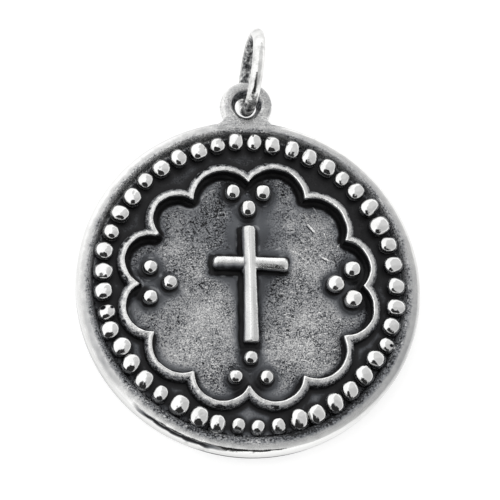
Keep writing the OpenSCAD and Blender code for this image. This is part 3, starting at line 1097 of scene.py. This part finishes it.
def medal_material():
    """Silver blackened by tarnish and painted light and shade, mottled, pitted and scratched, with
    painted glints.
    """
    m = new_material("medal_silver")
    place = m.coordinates()
    darkness = m.attribute("patina_and_shade")
    pitting = m.attribute("pitting")
    mottle = m.noise(place, 0.8, 4, 0.6)
    grain = m.noise(place, 7.5, 2, 0.6)
    speck = m.noise(place, 8.5, 1, 0.5)
    scars = m.noise(place, 2.6, 3, 0.6)
    rough = m.times(pitting, m.map(mottle, 0.3, 0.62, 0.45, 1.15))
    small_pits = m.times(m.ease(0.6, 0.66, speck), rough)
    large_pits = m.times(m.ease(0.64, 0.68, m.noise(place, 4.6, 1, 0.4)), rough)
    pits = m.math("MAXIMUM", small_pits, large_pits)
    # each pair is a pattern and its share, which darkens where it is positive
    layers = (
        (m.map(mottle, 0.25, 0.75, -0.12, 0.12), pitting),
        (m.map(grain, 0.3, 0.7, -0.26, 0.26), rough),
        (m.times(m.ease(0.62, 0.7, scars), pitting), 0.07),
        (pits, 0.36),
        (m.times(streaks(m, place, 38, 7, 0.55, 0.65), rough), -0.22),
        (m.times(streaks(m, place, -52, 6.5, 0.57, 0.68), rough), 0.2),
        (scratches(m, place), -1),
        # the last pattern brightens small specks as painted glints
        (m.times(m.ease(0.36, 0.3, speck), rough), -0.24),
    )
    shade = darkness
    for pattern, share in layers:
        shade = m.math("ADD", shade, m.times(pattern, share))
    shade = m.math("ADD", shade, 0, clamp=True)
    grit = m.times(m.map(grain, 0.3, 0.7), m.map(rough, 0, 1, 0.04, 1))
    return m.surface(
        {
            "Base Color": m.ramp(shade, MEDAL_COLOURS),
            "Metallic": m.map(darkness, 0.2, 0.55, 1, 0.55),
            "Roughness": m.map(shade, 0.08, 0.5, 0.06, 0.45),
            "Normal": m.bump(m.math("SUBTRACT", grit, m.times(pits, 1.2)), 0.9, 0.00006),
        }
    )


def ring_material():
    """Polished silver wire, tarnished in blotches."""
    m = new_material("ring_silver")
    place = m.coordinates()
    darkness = m.attribute("patina_and_shade")
    blotches = m.map(m.noise(place, 3, 4, 0.65), 0.35, 0.65, -0.6, 0.6)
    shade = m.math("ADD", darkness, m.times(blotches, darkness), clamp=True)
    return m.surface(
        {
            "Base Color": m.ramp(shade, RING_COLOURS),
            "Metallic": 1,
            "Roughness": m.map(shade, 0, 0.7, 0.1, 0.35),
            "Normal": m.bump(m.noise(place, 2, 4, 0.6), 0.7, 0.00007),
        }
    )


def floor_material():
    """A matt white table, lit from within so that it stays an even white."""
    return new_material("table_white").surface(
        {
            "Base Color": (0.45, 0.45, 0.448, 1),
            "Roughness": 0.7,
            "Specular IOR Level": 0.2,
            "Emission Color": (1, 1, 1, 1),
            "Emission Strength": 0.7,
        }
    )


def finish_mesh(obj, material, sharp):
    """Scales a mesh to metres, and shades it smooth up to an angle between faces."""
    obj.data.transform(Matrix.Scale(MM, 4))
    obj.data.materials.clear()
    obj.data.materials.append(material)
    obj.data.shade_smooth()
    obj.data.set_sharp_from_angle(angle=radians(sharp))


# Build the medal

medal = make_disc()
join_in(medal, make_eye())
join_in(medal, make_wire())
join_in(medal, make_cross())
join_in(medal, make_balls("dots_tool", DOTS, (0.05, 0.35)))
# every third bead at a time, so that the beads of one tool don't meet
for start in range(3):
    join_in(medal, make_balls("beads_tool", BEADS[start::3], (0.1, 0.6), BEAD_LEAN, 1))
clean_up(medal.data)

coords = np.array([v.co[:] for v in medal.data.vertices])
darkness, pitting = patina_and_shade(coords)
add_attribute(medal, "patina_and_shade", darkness)
add_attribute(medal, "pitting", pitting)
finish_mesh(medal, medal_material(), 42)

ring = make_ring()
coords = np.array([v.co[:] for v in ring.data.vertices])
normals = np.array([v.normal[:] for v in ring.data.vertices])
add_attribute(ring, "patina_and_shade", ring_patina_and_shade(coords, normals))
finish_mesh(ring, ring_material(), 40)

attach(medal, "root")
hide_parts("medal")
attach(ring, "root")
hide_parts("jump_ring")


# Table

# Where the lying medal touches the table: its lower edge, and the jump ring's lowest point
EDGE_Y = -13.75
LOW_Y, LOW_Z = 18.05, -1.2045
TABLE_GAP = 0.01
TABLE_HALF = 1200


def make_table():
    """The white table that the medal's edge and the jump ring rest on."""
    tilt = atan2(-LOW_Z, LOW_Y - EDGE_Y)
    half = TABLE_HALF * MM
    corners = [(-half, -half, 0), (half, -half, 0), (half, half, 0), (-half, half, 0)]
    obj = new_object("table_top", corners, [(0, 1, 2, 3)])
    place = Matrix.Translation((0, EDGE_Y * MM, -TABLE_GAP * MM))
    obj.data.transform(place @ Matrix.Rotation(-tilt, 4, "X"))
    obj.data.materials.append(floor_material())
    return obj


table = make_table()


# Camera and light

# The camera as the photo has it: the direction to it, the picture's right, its distance,
# the point in the picture that it aims at, and its lens
CAMERA_TOWARD = (-0.1271, -0.2815, 0.9511)
CAMERA_RIGHT = (0.9917, -0.0183, 0.1271)
CAMERA_AWAY = 176.6
CAMERA_AIM = (0.22, 3.265)
CAMERA_LENS = 156.17


def make_camera():
    toward = Vector(CAMERA_TOWARD).normalized()
    right = Vector(CAMERA_RIGHT).normalized()
    up = toward.cross(right)
    place = toward * CAMERA_AWAY
    aim = right * CAMERA_AIM[0] + up * CAMERA_AIM[1]
    back = (place - aim).normalized()
    side = up.cross(back).normalized()
    data = bpy.data.cameras.new("camera")
    data.sensor_width = 36
    data.lens = CAMERA_LENS
    data.clip_start = 0.01
    data.clip_end = 10
    camera = bpy.data.objects.new("camera", data)
    axes = Matrix((side, back.cross(side), back)).transposed().to_4x4()
    camera.matrix_world = Matrix.Translation(place * MM) @ axes
    bpy.context.scene.collection.objects.link(camera)
    bpy.context.scene.camera = camera


# How bright each part of the light tent is
TENT_WHITE = 1.36
PANEL_GREY = 0.84
SIDE_SHARE = 0.82
GAP_SHARE = 0.02
# The direction of the grey panel's middle, and the angles from it over which it fades
PANEL_TOWARD = (0.816, -0.071, 0.574)
PANEL_REACH = (58, 61)


def make_light():
    """A white light tent, with a light grey panel on the right and a dark gap in front."""
    world = bpy.data.worlds.new("tent")
    bpy.context.scene.world = world
    m = Nodes(world)
    where = m.add("TexCoord", {})["Generated"]
    height = m.add("SeparateXYZ", {0: where})["Z"]
    level = m.vector("NORMALIZE", m.vector("MULTIPLY", where, (1, 1, 0))[0])[0]

    def within(place, direction, inner, outer):
        """1 within an angle of a direction, fading to 0 at a larger one."""
        nearness = m.vector("DOT_PRODUCT", place, direction)["Value"]
        return m.ease(polar(1, outer)[0], polar(1, inner)[0], nearness)

    def around(compass, inner, outer):
        """1 within an angle of a compass direction at any height, fading to 0."""
        return within(level, (*polar(1, compass), 0), inner, outer)

    def above(low, high):
        """0 below an elevation, fading to 1 above another."""
        return m.ease(polar(1, low)[1], polar(1, high)[1], height)

    def below(low, high):
        return m.math("SUBTRACT", 1, above(low, high))

    def blend(share, start, end):
        return m.map(share, 0, 1, start, end)

    # the light grey panel reaches overhead
    panel = within(where, Vector(PANEL_TOWARD).normalized(), *PANEL_REACH)
    panel = m.times(panel, above(12, 20))
    light = blend(panel, TENT_WHITE, PANEL_GREY)
    light = m.times(light, blend(around(335, 15, 50), 1, SIDE_SHARE))
    # the dark gap is wide low in front, and narrows upwards to the camera
    wide = m.times(m.times(around(262, 27, 34), above(4, 9)), below(40, 47))
    narrow = m.times(m.times(around(256, 24, 33), above(38, 42)), below(66, 70))
    light = m.times(light, blend(m.math("MAXIMUM", wide, narrow), 1, GAP_SHARE))
    m.feed(m.tree.nodes["Background"], {"Strength": light, "Color": (1, 1, 1, 1)})


make_camera()
make_light()
bpy.context.scene.view_settings.view_transform = "Standard"
